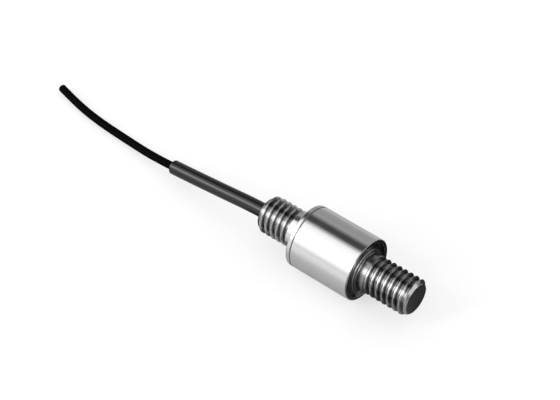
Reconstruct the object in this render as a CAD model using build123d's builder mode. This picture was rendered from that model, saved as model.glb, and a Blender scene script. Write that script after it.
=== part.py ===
from build123d import *
from math import cos, pi, radians, sin, sqrt, tan
import os

# Miniature in-line load cell for tension and compression. A stainless spring element
# carries a threaded stud at each end; a sleeve and a front diaphragm close it, and the
# cable leaves through the bored rear stud.
# Millimetres. The cell lies on a surface at Z = 0 with its load axis along X and the
# front stud towards +X. The origin is on that surface, under the middle of the metal.

# Studs, M6 x 1, at their major diameter
thread_diameter = 6.0
thread_chamfer = 0.6
front_thread_length = 7.4
front_collar_length = 1.4
rear_thread_length = 5.7
rear_collar_length = 1.7

# Body
body_diameter = 10.0
body_length = 11.2
edge_chamfer = 0.25
joint_chamfer = 0.1
weld_fit = 0.02
glue_line = 0.02

# Cover sleeve and front diaphragm
sleeve_wall = 0.6
diaphragm_sheet = 0.12
diaphragm_recess = 0.4
diaphragm_share = 0.64
convolution_share = 0.55
convolution_depth = 0.2

# Rear flange, its visible rim and the spigot that the sleeve is welded on
flange_thickness = 1.7
flange_rim_width = 0.8
flange_chamfer = 0.2

# Front hub, inside the diaphragm
hub_thickness = 1.5

# Gauged column between flange and hub, on a wider foot
foot_width = 3.4
foot_length = 2.0
column_width = 2.6

# Cable bore, core passage and the cross holes that let the cores out of the foot
bore_diameter = 2.6
bore_depth = 7.2
bore_mouth_chamfer = 0.15
passage_diameter = 1.5
cross_hole_diameter = 0.9
passage_overrun = 0.5

# Terminal board on the flange, with a solder joint for each bridge corner
board_foot_clearance = 0.1
board_sleeve_clearance = 0.3
board_thickness = 0.4
joint_radial_width = 1.0
joint_spread = 1.5
joint_thickness = 0.12

# Chip resistors that trim the bridge
chip_length = 0.7
chip_width = 0.4
chip_height = 0.25
chip_cap_length = 0.14

# Foil strain gauges on the four flats of the column
carrier_length = 3.4
carrier_width = 2.0
carrier_thickness = 0.06
foil_thickness = 0.03
grid_length = 1.5
grid_pitch = 0.22
grid_line_width = 0.1
grid_lines = 6
grid_shift = 0.5
tab_length = 0.5
tab_width = 0.6
tab_spacing = 0.9
tab_inset = 0.15

# Gauge leads and cable cores
lead_width = 0.2
lead_thickness = 0.05
lead_rise = 1.0
lead_drop = 0.5
lead_landing = 0.25
core_diameter = 0.36
core_clearance = 0.06
core_bend = 0.25
core_landing = 0.4

# Cable, its folded braid, crimped ferrule, potting and strain relief
cable_diameter = 1.3
cable_end_gap = 1.1
braid_thickness = 0.08
braid_length = 2.6
ferrule_clearance = 0.13
ferrule_length = 2.0
ferrule_setback = 0.2
relief_clearance = 0.15
relief_setback = 0.5
relief_reach = 19.6

# Places along the load axis
overall_length = (
    rear_thread_length + rear_collar_length + body_length + front_collar_length + front_thread_length
)
axis_height = body_diameter / 2
x_rear = -overall_length / 2
x_front = overall_length / 2
x_flange = x_rear + rear_thread_length + rear_collar_length
x_joint = x_flange + flange_rim_width
x_cavity = x_flange + flange_thickness
x_foot = x_cavity + foot_length
x_rim = x_flange + body_length
x_hub = x_rim - hub_thickness
x_board = x_cavity + board_thickness
x_solder = x_board + joint_thickness
x_cross = x_solder + glue_line + core_diameter / 2
x_bore_end = x_rear + bore_depth
x_jacket = x_bore_end - cable_end_gap
x_braid = x_jacket - braid_length
x_relief = x_braid - relief_setback
x_gauge = (x_foot + x_hub) / 2

# Radii about the load axis; the diaphragm takes up its share of the room between stud and sleeve
stud_radius = thread_diameter / 2
body_radius = body_diameter / 2
bore_radius = bore_diameter / 2
sleeve_inner_radius = body_radius - sleeve_wall
spigot_radius = sleeve_inner_radius - weld_fit
diaphragm_span = diaphragm_share * (sleeve_inner_radius - stud_radius)
convolution_width = convolution_share * diaphragm_span
hub_radius = sleeve_inner_radius - diaphragm_span
board_inner_radius = foot_width / sqrt(2) + board_foot_clearance
board_outer_radius = sleeve_inner_radius - board_sleeve_clearance
joint_radius = (board_inner_radius + board_outer_radius) / 2
core_circle_radius = (core_diameter + core_clearance) / sqrt(2)
cable_radius = cable_diameter / 2
relief_radius = bore_radius - relief_clearance
ferrule_radius = bore_radius - ferrule_clearance

# Chamfers at the studs' roots and fillets at the column's, by the ledges that they stand on
root_chamfer = (hub_radius - stud_radius) / 2
column_fillet = 0.75 * (foot_width - column_width) / 2

load_axis = Axis((0, 0, axis_height), (1, 0, 0))
quarter_turns = {"top": 90, "rear_side": 0, "bottom": 270, "front_side": 180}


def radial_plane(angle):
    """Plane through the load axis: local X along it, local Y outwards at this angle."""
    a = radians(angle)
    return Plane(origin=(0, 0, axis_height), x_dir=(1, 0, 0), z_dir=(0, -sin(a), cos(a)))


def flat_plane(angle, x, height):
    """Plane that faces outwards at this angle, this far from the load axis."""
    a = radians(angle)
    origin = (x, height * cos(a), axis_height + height * sin(a))
    return Plane(origin=origin, x_dir=(1, 0, 0), z_dir=(0, cos(a), sin(a)))


def cross_plane(x):
    """Plane square to the load axis, facing the front stud."""
    return Plane(origin=(x, 0, axis_height), x_dir=(0, 1, 0), z_dir=(1, 0, 0))


def start_plane(line, across=None):
    """Plane square to a path at its start, with its local X along a given direction."""
    return Plane(origin=line @ 0, x_dir=across, z_dir=line % 0)


profile_plane = radial_plane(90)

# Spring element: studs, flange, foot, column and hub turned and milled from one bar
with BuildPart() as spring_element:
    with BuildSketch(profile_plane):
        with BuildLine():
            Polyline(
                (x_rear, 0),
                (x_rear, stud_radius - thread_chamfer),
                (x_rear + thread_chamfer, stud_radius),
                (x_flange, stud_radius),
                (x_flange, body_radius),
                (x_joint, body_radius),
                (x_joint, spigot_radius),
                (x_cavity, spigot_radius),
                (x_cavity, 0),
                close=True,
            )
        make_face()
    revolve(axis=load_axis)
    with BuildSketch(profile_plane):
        with BuildLine():
            Polyline(
                (x_hub, 0),
                (x_hub, hub_radius),
                (x_rim, hub_radius),
                (x_rim, stud_radius),
                (x_front - thread_chamfer, stud_radius),
                (x_front, stud_radius - thread_chamfer),
                (x_front, 0),
                close=True,
            )
        make_face()
    revolve(axis=load_axis)
    rims = edges().filter_by(GeomType.CIRCLE)
    roots = rims.filter_by(lambda e: abs(e.radius - stud_radius) < 0.01)
    chamfer(roots.filter_by_position(Axis.X, x_flange - 0.01, x_rim + 0.01), root_chamfer)
    outer = edges().filter_by(GeomType.CIRCLE).filter_by(lambda e: abs(e.radius - body_radius) < 0.01)
    chamfer(outer.sort_by(Axis.X)[0], flange_chamfer)
    chamfer(outer.sort_by(Axis.X)[-1], joint_chamfer)
    with BuildSketch(cross_plane(x_cavity)):
        Rectangle(foot_width, foot_width)
    extrude(amount=foot_length)
    with BuildSketch(cross_plane(x_foot)):
        Rectangle(column_width, column_width)
    extrude(amount=x_hub - x_foot)
    square = edges().filter_by(lambda e: abs(e.length - column_width) < 0.01)
    fillet(square.filter_by(Axis.X, reverse=True), column_fillet)
    with BuildSketch(cross_plane(x_rear)):
        Circle(bore_radius)
    extrude(amount=bore_depth, mode=Mode.SUBTRACT)
    mouth = edges().filter_by(GeomType.CIRCLE).filter_by_position(Axis.X, x_rear - 0.01, x_rear + 0.01)
    chamfer(mouth.sort_by(lambda e: e.radius)[0], bore_mouth_chamfer)
    with BuildSketch(cross_plane(x_bore_end)):
        Circle(passage_diameter / 2)
    extrude(amount=x_cross + passage_overrun - x_bore_end, mode=Mode.SUBTRACT)
    with BuildSketch(flat_plane(0, x_cross, 0), flat_plane(90, x_cross, 0)):
        Circle(cross_hole_diameter / 2)
    extrude(amount=foot_width / 2, both=True, mode=Mode.SUBTRACT)
spring_element.part.label = "spring_element"

# Cover sleeve: slid over the front and welded to the flange's spigot
with BuildPart() as cover_sleeve:
    with BuildSketch(cross_plane(x_joint)):
        Circle(body_radius)
        Circle(sleeve_inner_radius, mode=Mode.SUBTRACT)
    extrude(amount=x_rim - x_joint)
    rear_rim = edges().filter_by_position(Axis.X, x_joint - 0.01, x_joint + 0.01)
    chamfer(rear_rim.filter_by(lambda e: abs(e.radius - body_radius) < 0.01), joint_chamfer)
    front_rim = edges().filter_by_position(Axis.X, x_rim - 0.01, x_rim + 0.01)
    chamfer(front_rim.filter_by(lambda e: abs(e.radius - body_radius) < 0.01), edge_chamfer)
    chamfer(front_rim.filter_by(lambda e: abs(e.radius - sleeve_inner_radius) < 0.01), joint_chamfer)
cover_sleeve.part.label = "cover_sleeve"

# Front diaphragm: one convolution, welded between the hub and the sleeve
with BuildPart() as front_diaphragm:
    x_sheet = x_rim - diaphragm_recess
    sheet_middle = (hub_radius + sleeve_inner_radius) / 2
    rise = (sheet_middle - convolution_width / 2, sheet_middle + convolution_width / 2)
    face_line = [
        (x_sheet, hub_radius + weld_fit),
        (x_sheet, rise[0]),
        (x_sheet - convolution_depth, sheet_middle),
        (x_sheet, rise[1]),
        (x_sheet, sleeve_inner_radius - weld_fit),
    ]
    with BuildSketch(profile_plane):
        with BuildLine():
            Polyline(*face_line, *[(x - diaphragm_sheet, r) for x, r in reversed(face_line)], close=True)
        make_face()
    revolve(axis=load_axis)
front_diaphragm.part.label = "front_diaphragm"

# Terminal board: a ring bonded to the flange around the foot
with BuildPart() as terminal_board:
    with BuildSketch(cross_plane(x_cavity)):
        Circle(board_outer_radius)
        Circle(board_inner_radius, mode=Mode.SUBTRACT)
    extrude(amount=board_thickness)
terminal_board.part.label = "terminal_board"

# Solder joints: one at each corner of the bridge
with BuildPart() as solder_joints:
    with BuildSketch(cross_plane(x_board)):
        with PolarLocations(joint_radius, len(quarter_turns)):
            Rectangle(joint_radial_width, joint_spread)
        chamfer(vertices(), joint_radial_width / 4)
    extrude(amount=joint_thickness)
solder_joints.part.label = "solder_joints"

# Trim resistors: chips on the board between the solder joints
with BuildPart() as trim_resistors:
    with BuildSketch(cross_plane(x_board)):
        with PolarLocations(joint_radius, len(quarter_turns), start_angle=45):
            Rectangle(chip_width, chip_length)
    extrude(amount=chip_height)
    with BuildSketch(cross_plane(x_board)):
        with PolarLocations(joint_radius, len(quarter_turns), start_angle=45):
            with Locations((0, (chip_length - chip_cap_length) / 2), (0, (chip_cap_length - chip_length) / 2)):
                Rectangle(chip_width + 2 * glue_line, chip_cap_length)
    extrude(amount=chip_height + glue_line)
trim_resistors.part.label = "trim_resistors"

finished = [spring_element, cover_sleeve, front_diaphragm, terminal_board, solder_joints, trim_resistors]

# Strain gauges: a carrier with a foil grid, along the column on two flats and across it on two
tab_x = -carrier_length / 2 + tab_inset + tab_length / 2
for side, angle in quarter_turns.items():
    across = side.endswith("side")
    kind = "cross" if across else "axial"
    with BuildPart() as gauge:
        with BuildSketch(flat_plane(angle, x_gauge, column_width / 2 + glue_line)):
            Rectangle(carrier_length, carrier_width)
        extrude(amount=carrier_thickness)
        with BuildSketch(flat_plane(angle, x_gauge, column_width / 2 + glue_line + carrier_thickness)):
            with Locations(Location((grid_shift, 0, 0), (0, 0, 90 if across else 0))):
                with GridLocations(0, grid_pitch, 1, grid_lines):
                    Rectangle(grid_length, grid_line_width)
                for n in range(grid_lines - 1):
                    end = grid_length / 2 * (1 if n % 2 else -1)
                    with Locations((-end, (n + 1 - grid_lines / 2) * grid_pitch)):
                        Rectangle(grid_line_width, grid_pitch + grid_line_width)
            with GridLocations(0, tab_spacing, 1, 2):
                with Locations((tab_x, 0)):
                    Rectangle(tab_length, tab_width)
        extrude(amount=foil_thickness)
    gauge.part.label = f"gauge_{kind}_{side}"
    finished.append(gauge)

# Gauge leads: two flat ribbons from each gauge's tabs over the foot and down to the board
tab_top = column_width / 2 + glue_line + carrier_thickness + foil_thickness
lead_height = tab_top + glue_line + lead_thickness / 2
x_tab = x_gauge + tab_x
for side, angle in quarter_turns.items():
    with BuildPart() as gauge_leads:
        for offset in (-tab_spacing / 2, tab_spacing / 2):
            lead_plane = radial_plane(angle).offset(offset)
            with BuildLine(lead_plane) as route:
                Polyline(
                    (x_tab, lead_height),
                    (x_tab - tab_length, lead_height),
                    (x_foot, lead_height + lead_rise),
                    (x_solder + lead_drop, joint_radius - lead_landing),
                    (x_solder + glue_line, joint_radius - lead_landing),
                )
            with BuildSketch(start_plane(route.line, lead_plane.z_dir)):
                Rectangle(lead_width, lead_thickness)
            sweep(path=route.line, transition=Transition.RIGHT)
    gauge_leads.part.label = f"gauge_leads_{side}"
    finished.append(gauge_leads)

# Cable cores: from the end of the jacket through the passage to the solder joints
core_colours = dict(zip(quarter_turns, ("red", "white", "black", "green")))
cores = []
for side, angle in quarter_turns.items():
    with BuildPart() as core:
        with BuildLine(radial_plane(angle)) as route:
            Polyline(
                (x_jacket, core_circle_radius),
                (x_cross - core_bend, core_circle_radius),
                (x_cross, core_circle_radius + core_bend),
                (x_cross, joint_radius + core_landing),
            )
        with BuildSketch(start_plane(route.line)):
            Circle(core_diameter / 2)
        sweep(path=route.line, transition=Transition.RIGHT)
    core.part.label = f"core_{core_colours[side]}"
    cores.append(core)
finished += cores

# Cable: lies straight out of the stud, sags to the surface and drifts aside on it.
# The points are chosen by eye, behind the rear end of the metal. A bend may take up nine tenths
# of a straight that it has to itself, and half as much of one that it shares.
cable_points = [
    (x_jacket, 0, axis_height),
    (x_rear - 0.5, 0, axis_height),
    (x_rear - 9.8, 0, 3.8),
    (x_rear - 23.3, 0.7, 1.5),
    (x_rear - 30.1, 1.55, cable_radius),
    (x_rear - 37.5, 1.95, cable_radius),
    (x_rear - 43.1, 2.9, cable_radius),
    (x_rear - 47.2, 4.0, cable_radius),
]
points = [Vector(*p) for p in cable_points]
covered = Vector(x_relief, 0, axis_height)
runs = [b - a for a, b in zip([covered, *points[1:]], points[1:])]
room = [0.9 * runs[0].length, *[0.45 * run.length for run in runs[1:-1]], 0.9 * runs[-1].length]
turns = [radians(a.get_angle(b)) for a, b in zip(runs, runs[1:])]
cable_radii = [min(a, b) / tan(turn / 2) for a, b, turn in zip(room, room[1:], turns)]
with BuildPart() as cable:
    with BuildLine() as cable_route:
        FilletPolyline(*points, radius=cable_radii)
    with BuildSketch(start_plane(cable_route.line)):
        Circle(cable_radius)
    sweep(path=cable_route.line)
cable.part.label = "cable"
finished.append(cable)
cable_length = cable_route.wire().length
print("cable radii", [round(r, 1) for r in cable_radii])
print("cable length", round(cable_length, 2))
print("cable volume", round(cable.part.volume, 3), "of", round(pi * cable_radius**2 * cable_length, 3))

# Strain relief: a shrunk sleeve on the cable, from inside the bore to its square-cut end
relief_span = (x_jacket - x_relief, x_jacket - x_rear + relief_reach)
relief_route = cable_route.wire().trim(*[run / cable_length for run in relief_span])
with BuildPart() as strain_relief:
    with BuildSketch(start_plane(relief_route)):
        Circle(relief_radius)
        Circle(cable_radius + glue_line, mode=Mode.SUBTRACT)
    sweep(path=relief_route)
strain_relief.part.label = "strain_relief"
finished.append(strain_relief)

# Shield braid: folded back over the end of the jacket
braid_inner_radius = cable_radius + glue_line
with BuildPart() as shield_braid:
    with BuildSketch(cross_plane(x_braid)):
        Circle(braid_inner_radius + braid_thickness)
        Circle(braid_inner_radius, mode=Mode.SUBTRACT)
    extrude(amount=braid_length)
shield_braid.part.label = "shield_braid"
finished.append(shield_braid)

# Cable ferrule: crimped over the folded braid, so that the cable can't be pulled out
ferrule_inner_radius = braid_inner_radius + braid_thickness + glue_line
with BuildPart() as cable_ferrule:
    with BuildSketch(cross_plane(x_jacket - ferrule_setback - ferrule_length)):
        Circle(ferrule_radius)
        Circle(ferrule_inner_radius, mode=Mode.SUBTRACT)
    extrude(amount=ferrule_length)
cable_ferrule.part.label = "cable_ferrule"
finished.append(cable_ferrule)

# Potting plug: fills the end of the bore around the cores
with BuildPart() as potting_plug:
    with BuildSketch(cross_plane(x_jacket + glue_line)):
        Circle(bore_radius - glue_line)
        with PolarLocations(core_circle_radius, len(cores)):
            Circle(core_diameter / 2 + glue_line, mode=Mode.SUBTRACT)
    extrude(amount=cable_end_gap - 2 * glue_line)
potting_plug.part.label = "potting_plug"
finished.append(potting_plug)

os.makedirs("parts", exist_ok=True)
for piece in finished:
    export_step(piece.part, f"parts/{piece.part.label}.step")
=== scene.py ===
"""Looks of a miniature in-line load cell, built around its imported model.

The metal lies on its side along X, with the front stud towards +X, and the cable sags to the
surface behind it. Sizes are named in millimetres where a real drawing would name them, and
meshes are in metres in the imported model's frame.
"""

import logging
import math
from dataclasses import dataclass
from enum import Enum
from typing import Iterable, Sequence, Union

import bmesh
import bpy
from mathutils import Matrix, Vector


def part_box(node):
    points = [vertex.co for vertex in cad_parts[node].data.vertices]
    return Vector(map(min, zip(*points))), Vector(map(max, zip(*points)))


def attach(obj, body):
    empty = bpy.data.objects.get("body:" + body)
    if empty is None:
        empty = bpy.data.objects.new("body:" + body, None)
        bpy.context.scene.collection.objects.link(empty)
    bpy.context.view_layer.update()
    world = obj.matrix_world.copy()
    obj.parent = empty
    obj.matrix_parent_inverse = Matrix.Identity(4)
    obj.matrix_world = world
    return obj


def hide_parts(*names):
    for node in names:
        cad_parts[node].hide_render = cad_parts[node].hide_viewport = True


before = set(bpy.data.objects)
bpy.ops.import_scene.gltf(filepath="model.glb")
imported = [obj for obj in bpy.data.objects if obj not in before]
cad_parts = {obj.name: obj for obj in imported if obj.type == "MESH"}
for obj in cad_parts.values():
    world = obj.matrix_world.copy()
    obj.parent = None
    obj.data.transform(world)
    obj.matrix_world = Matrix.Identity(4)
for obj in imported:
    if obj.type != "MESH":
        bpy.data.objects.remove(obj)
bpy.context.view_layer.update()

log = logging.getLogger("load_cell")

MM = 0.001
ROOT = "root"
SHARP_ANGLE = 35
MERGE_DISTANCE = 1e-7

Pair = tuple[float, float]
Triple = tuple[float, float, float]
Colour = Triple
Socket = bpy.types.NodeSocket
Value = Union[float, Sequence[float], Socket, None]
Paint = Union[Colour, Socket]


class StudSide(Enum):
    """A stud of the cell, by the direction from its tip to the body."""

    REAR = 1
    FRONT = -1


class Combining(Enum):
    """What a solid does to the bar that it is combined with."""

    ADD = "UNION"
    CUT = "DIFFERENCE"


class MaterialSlot(Enum):
    """The record's material slots."""

    MACHINED_STEEL = "machined_steel"
    POLISHED_STEEL = "polished_steel"
    DIAPHRAGM_STEEL = "diaphragm_steel"
    CABLE_JACKET = "cable_jacket"
    RELIEF_SLEEVE = "relief_sleeve"


class NodeDesk:
    """Adds nodes to one tree and joins them, so that a finish or a shape reads as a formula."""

    def __init__(self, tree: bpy.types.NodeTree) -> None:
        """Starts on the shader or geometry tree that gets the nodes."""
        self.tree = tree

    def feed(self, socket: Socket, value: Value) -> None:
        """Links or sets one input.

        Args:
            socket: The input.
            value: A socket to link, a value to set, or None to leave the input alone.
        """
        if isinstance(value, Socket):
            self.tree.links.new(value, socket)
        elif value is not None:
            socket.default_value = value

    def node(self, kind: str, *inputs: Value, **settings: object) -> bpy.types.Node:
        """Adds a node.

        Args:
            kind: The node's type name.
            inputs: Values or sockets for its inputs, in their order.
            settings: The node's own properties.

        Returns:
            The node.
        """
        made = self.tree.nodes.new(kind)
        for key, value in settings.items():
            setattr(made, key, value)
        for socket, value in zip(made.inputs, inputs):
            self.feed(socket, value)
        return made

    def math(self, operation: str, *inputs: Value, clamp: bool = False) -> Socket:
        """Adds a Math node, whose result may be clamped between 0 and 1."""
        return self.node("ShaderNodeMath", *inputs, operation=operation, use_clamp=clamp).outputs[0]

    def add(self, one: Value, other: Value) -> Socket:
        """Adds two numbers."""
        return self.math("ADD", one, other)

    def minus(self, one: Value, other: Value) -> Socket:
        """Takes the second number from the first."""
        return self.math("SUBTRACT", one, other)

    def times(self, one: Value, other: Value) -> Socket:
        """Multiplies two numbers."""
        return self.math("MULTIPLY", one, other)

    def over(self, one: Value, other: Value) -> Socket:
        """Divides the first number by the second."""
        return self.math("DIVIDE", one, other)

    def absolute(self, value: Value) -> Socket:
        """Drops a number's sign."""
        return self.math("ABSOLUTE", value)

    def diagonal(self, one: Value, other: Value) -> Socket:
        """Returns the distance that two steps at right angles reach."""
        return self.math("SQRT", self.add(self.times(one, one), self.times(other, other)))

    def vector(self, operation: str, *inputs: Value) -> Socket:
        """Adds a Vector Math node, whose result is a number for a dot product."""
        made = self.node("ShaderNodeVectorMath", *inputs, operation=operation)
        return made.outputs["Value" if operation == "DOT_PRODUCT" else "Vector"]

    def blend(self, factor: Value, low: Value, high: Value) -> Socket:
        """Mixes two numbers: a factor of 0 gives the low one and 1 the high one."""
        return self.node("ShaderNodeMix", factor, None, low, high, data_type="FLOAT").outputs[0]

    def tint(self, factor: Value, low: Paint, high: Paint) -> Socket:
        """Mixes two colours.

        Args:
            factor: 0 gives low and 1 gives high.
            low: The first colour.
            high: The second colour.

        Returns:
            The mixed colour.
        """
        mix = self.node("ShaderNodeMix", factor, data_type="RGBA")
        for name, paint in (("A", low), ("B", high)):
            self.feed(mix.inputs[name], paint if isinstance(paint, Socket) else (*paint, 1))
        return mix.outputs["Result"]

    def step(self, value: Value, start: float, end: float) -> Socket:
        """Rises smoothly from 0 at the start to 1 at the end."""
        inputs = (value, start, end, 0.0, 1.0)
        return self.node("ShaderNodeMapRange", *inputs, interpolation_type="SMOOTHSTEP").outputs[0]

    def noise(self, vector: Value, scale: float, detail: float = 2.0) -> Socket:
        """Adds a noise texture.

        Args:
            vector: Where it is read.
            scale: Features per metre.
            detail: Octaves.

        Returns:
            The noise, about 0.5 on average.
        """
        made = self.node("ShaderNodeTexNoise", vector)
        made.inputs["Scale"].default_value = scale
        made.inputs["Detail"].default_value = detail
        return made.outputs[0]

    def uneven(self, level: Value, pattern: Value, spread: float) -> Socket:
        """Varies a level by a noise, within 0 and 1."""
        return self.math("ADD", level, self.times(self.minus(pattern, 0.5), spread), clamp=True)

    def place(self) -> Socket:
        """Returns the point on the object."""
        return self.node("ShaderNodeTexCoord").outputs["Object"]

    def parts(self, vector: Value) -> tuple[Socket, ...]:
        """Splits a vector into its X, Y and Z."""
        return tuple(self.node("ShaderNodeSeparateXYZ", vector).outputs)

    def bump(self, height: Value, depth: float) -> Socket:
        """Adds a bump.

        Args:
            height: The height, from 0 to 1.
            depth: What a height of 1 stands for, in metres.

        Returns:
            The normal.
        """
        made = self.node("ShaderNodeBump")
        made.inputs["Distance"].default_value = depth
        self.feed(made.inputs["Height"], height)
        return made.outputs[0]


class SurfaceDesk(NodeDesk):
    """A desk on a material's tree, which knows the surface shader."""

    def __init__(self, material: bpy.types.Material) -> None:
        """Starts on a material that uses nodes."""
        super().__init__(material.node_tree)
        self.shader = material.node_tree.nodes["Principled BSDF"]

    def dress(self, inputs: dict[str, Value]) -> None:
        """Links or sets the surface shader's inputs by their names."""
        for name, value in inputs.items():
            self.feed(self.shader.inputs[name], value)


def grey(level: float) -> Colour:
    """Returns the grey of a level."""
    return (level,) * 3


def shaded(colour: Colour, factor: float) -> Colour:
    """Returns a colour made darker or lighter by a factor."""
    return tuple(min(1.0, factor * c) for c in colour)


STAINLESS: Colour = (0.8, 0.8, 0.81)
# Painted shade: the diaphragm's dark colour stands in for the shade in the front recess.
RECESS_SHADE_STAINLESS: Colour = (0.27, 0.27, 0.28)
RED: Colour = (0.55, 0.03, 0.025)
WHITE: Colour = (0.82, 0.82, 0.8)
BLACK: Colour = (0.02, 0.02, 0.022)
GREEN: Colour = (0.03, 0.28, 0.08)
COPPER: Colour = (0.8, 0.42, 0.25)


@dataclass(frozen=True)
class Finish:
    """A surface finish with one colour, one roughness and no detail of its own."""

    name: str
    colour: Colour
    roughness: float = 0.5
    metallic: float = 0.0

    def material(self) -> bpy.types.Material:
        """Makes the finish's material, or finds it where it was made before.

        Returns:
            The material.
        """
        found = bpy.data.materials.get(self.name)
        if found:
            return found
        made = bpy.data.materials.new(self.name)
        made.use_nodes = True
        desk = SurfaceDesk(made)
        desk.dress({"Base Color": (*self.colour, 1), "Roughness": self.roughness, "Metallic": self.metallic})
        self.detail(desk)
        return made

    def detail(self, desk: SurfaceDesk) -> None:
        """Adds what makes the finish look real, which is nothing on a plain one."""


@dataclass(frozen=True)
class TurnedSteel(Finish):
    """Stainless steel off a lathe: polished barrels, duller end faces, a weld seam, and painted shade on the
    end faces, the front collar and the thread roots.
    """

    axis_height: float = 0.005
    body_middle: float = -0.0007
    body_reach: float = 0.0056
    bore_radius: float = 0.0014
    root_radius: float = 0.0024
    crest_radius: float = 0.003
    root_share: Pair = (0.4, 0.9)
    # Painted shade: the thread roots get a dark colour for the shade deep in the grooves.
    root_shade_colour: Colour = (0.2, 0.2, 0.203)
    root_roughness: float = 0.2
    tip_place: float = 0.0131
    seam_place: float = -0.0055
    seam_edge: Pair = (0.000132, 0.000099)
    seam_colour: Colour = (0.3, 0.3, 0.303)
    seam_roughness: float = 0.5
    collar_place: float = 0.00565
    collar_reach: float = 0.00075
    # Painted shade: the front collar beside the recess is painted darker for the shade on it.
    collar_shade_colour: Colour = (0.3, 0.3, 0.303)
    collar_roughness: float = 0.24
    face_lean: Pair = (0.93, 0.985)
    # End faces are duller as turned; their darker colour is partly painted shade.
    face_shade_colour: Colour = (0.36, 0.36, 0.366)
    face_roughness: float = 0.4
    face_marks: float = 0.15
    mark_pitch: float = 0.00012
    mark_share: float = 0.5
    mark_depth: float = 0.0000012
    streak_form: Triple = (1.0, 0.04, 0.04)
    streak_scale: float = 6000.0
    streak_spread: float = 0.1
    smudge_scale: float = 420.0
    smudge_spread: float = 0.12

    def detail(self, desk: SurfaceDesk) -> None:
        """Adds tool marks, polish streaks, duller end faces, the weld seam, and painted shade on the end
        faces, the collar and in the thread roots.

        Args:
            desk: The desk on the material's tree.
        """
        place = desk.place()
        x, y, z = desk.parts(place)
        radius = desk.diagonal(y, desk.minus(z, self.axis_height))
        normal = desk.node("ShaderNodeNewGeometry").outputs["Normal"]
        face = desk.step(desk.absolute(desk.parts(normal)[0]), *self.face_lean)
        stud = desk.math("GREATER_THAN", desk.absolute(desk.minus(x, self.body_middle)), self.body_reach)
        collar = desk.math("COMPARE", x, self.collar_place, self.collar_reach)
        seam = desk.step(desk.absolute(desk.minus(x, self.seam_place)), *self.seam_edge)
        flats = desk.math("MAXIMUM", face, desk.math("GREATER_THAN", x, self.tip_place))
        threaded = desk.math("SUBTRACT", stud, flats, clamp=True)
        # Painted shade in the thread roots, left off the end faces and the front tip.
        root = desk.times(self.painted_root_shade(desk, radius), threaded)
        streaks = desk.noise(desk.vector("MULTIPLY", place, self.streak_form), self.streak_scale, detail=3.0)
        smudges = desk.noise(place, self.smudge_scale, detail=3.0)
        colour, rough = self.colour, self.roughness
        # Collar, end faces and roots get painted shade in their colour; the seam is a dark joint.
        for mask, own_colour, own_roughness in (
            (collar, self.collar_shade_colour, self.collar_roughness),
            (face, self.face_shade_colour, self.face_roughness),
            (root, self.root_shade_colour, self.root_roughness),
            (seam, self.seam_colour, self.seam_roughness),
        ):
            colour = desk.tint(mask, colour, own_colour)
            rough = desk.blend(mask, rough, own_roughness)
        rough = desk.uneven(desk.uneven(rough, smudges, self.smudge_spread), streaks, self.streak_spread)
        turns = desk.blend(face, x, radius)
        marks = desk.math("SINE", desk.times(turns, 2 * math.pi / self.mark_pitch))
        height = desk.add(desk.times(marks, self.mark_share), streaks)
        marked = desk.blend(stud, 1.0, desk.blend(face, self.face_marks, 1.0))
        height = desk.times(height, desk.math("SUBTRACT", marked, seam, clamp=True))
        desk.dress({"Base Color": colour, "Roughness": rough, "Normal": desk.bump(height, self.mark_depth)})

    def painted_root_shade(self, desk: NodeDesk, radius: Socket) -> Socket:
        """Marks what lies deeper than the thread's crests, outside the bore, where shade is painted into the
        roots.

        Args:
            desk: The desk on the material's tree.
            radius: The distance from the load axis.

        Returns:
            A factor that is 1 in the roots, where shade is painted.
        """
        depth = self.crest_radius - self.root_radius
        deep, shallow = (self.root_radius + share * depth for share in self.root_share)
        bored = desk.math("GREATER_THAN", radius, self.bore_radius)
        return desk.math("SUBTRACT", bored, desk.step(radius, deep, shallow), clamp=True)


@dataclass(frozen=True)
class ExtrudedPlastic(Finish):
    """A drawn or shrunk plastic skin with faint waves and specks."""

    wave_size: float = 0.002
    wave_form: Triple = (0.35, 1.0, 1.0)
    wave_depth: float = 0.00001
    grains_per_wave: float = 12.0
    grain_share: float = 0.15
    grain_spread: float = 0.16
    gloss: float = 0.5
    fade: float = 0.009

    def detail(self, desk: SurfaceDesk) -> None:
        """Adds waves, a grain and a slight change of colour.

        Args:
            desk: The desk on the material's tree.
        """
        place = desk.place()
        waves = desk.noise(desk.vector("MULTIPLY", place, self.wave_form), 1 / self.wave_size)
        grain = desk.noise(place, self.grains_per_wave / self.wave_size)
        faded = tuple(c + self.fade for c in self.colour)
        height = desk.add(waves, desk.times(grain, self.grain_share))
        inputs = {
            "Base Color": desk.tint(waves, self.colour, faded),
            "Roughness": desk.uneven(self.roughness, grain, self.grain_spread),
            "Normal": desk.bump(height, self.wave_depth),
            "Specular IOR Level": self.gloss,
        }
        desk.dress(inputs)


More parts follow.
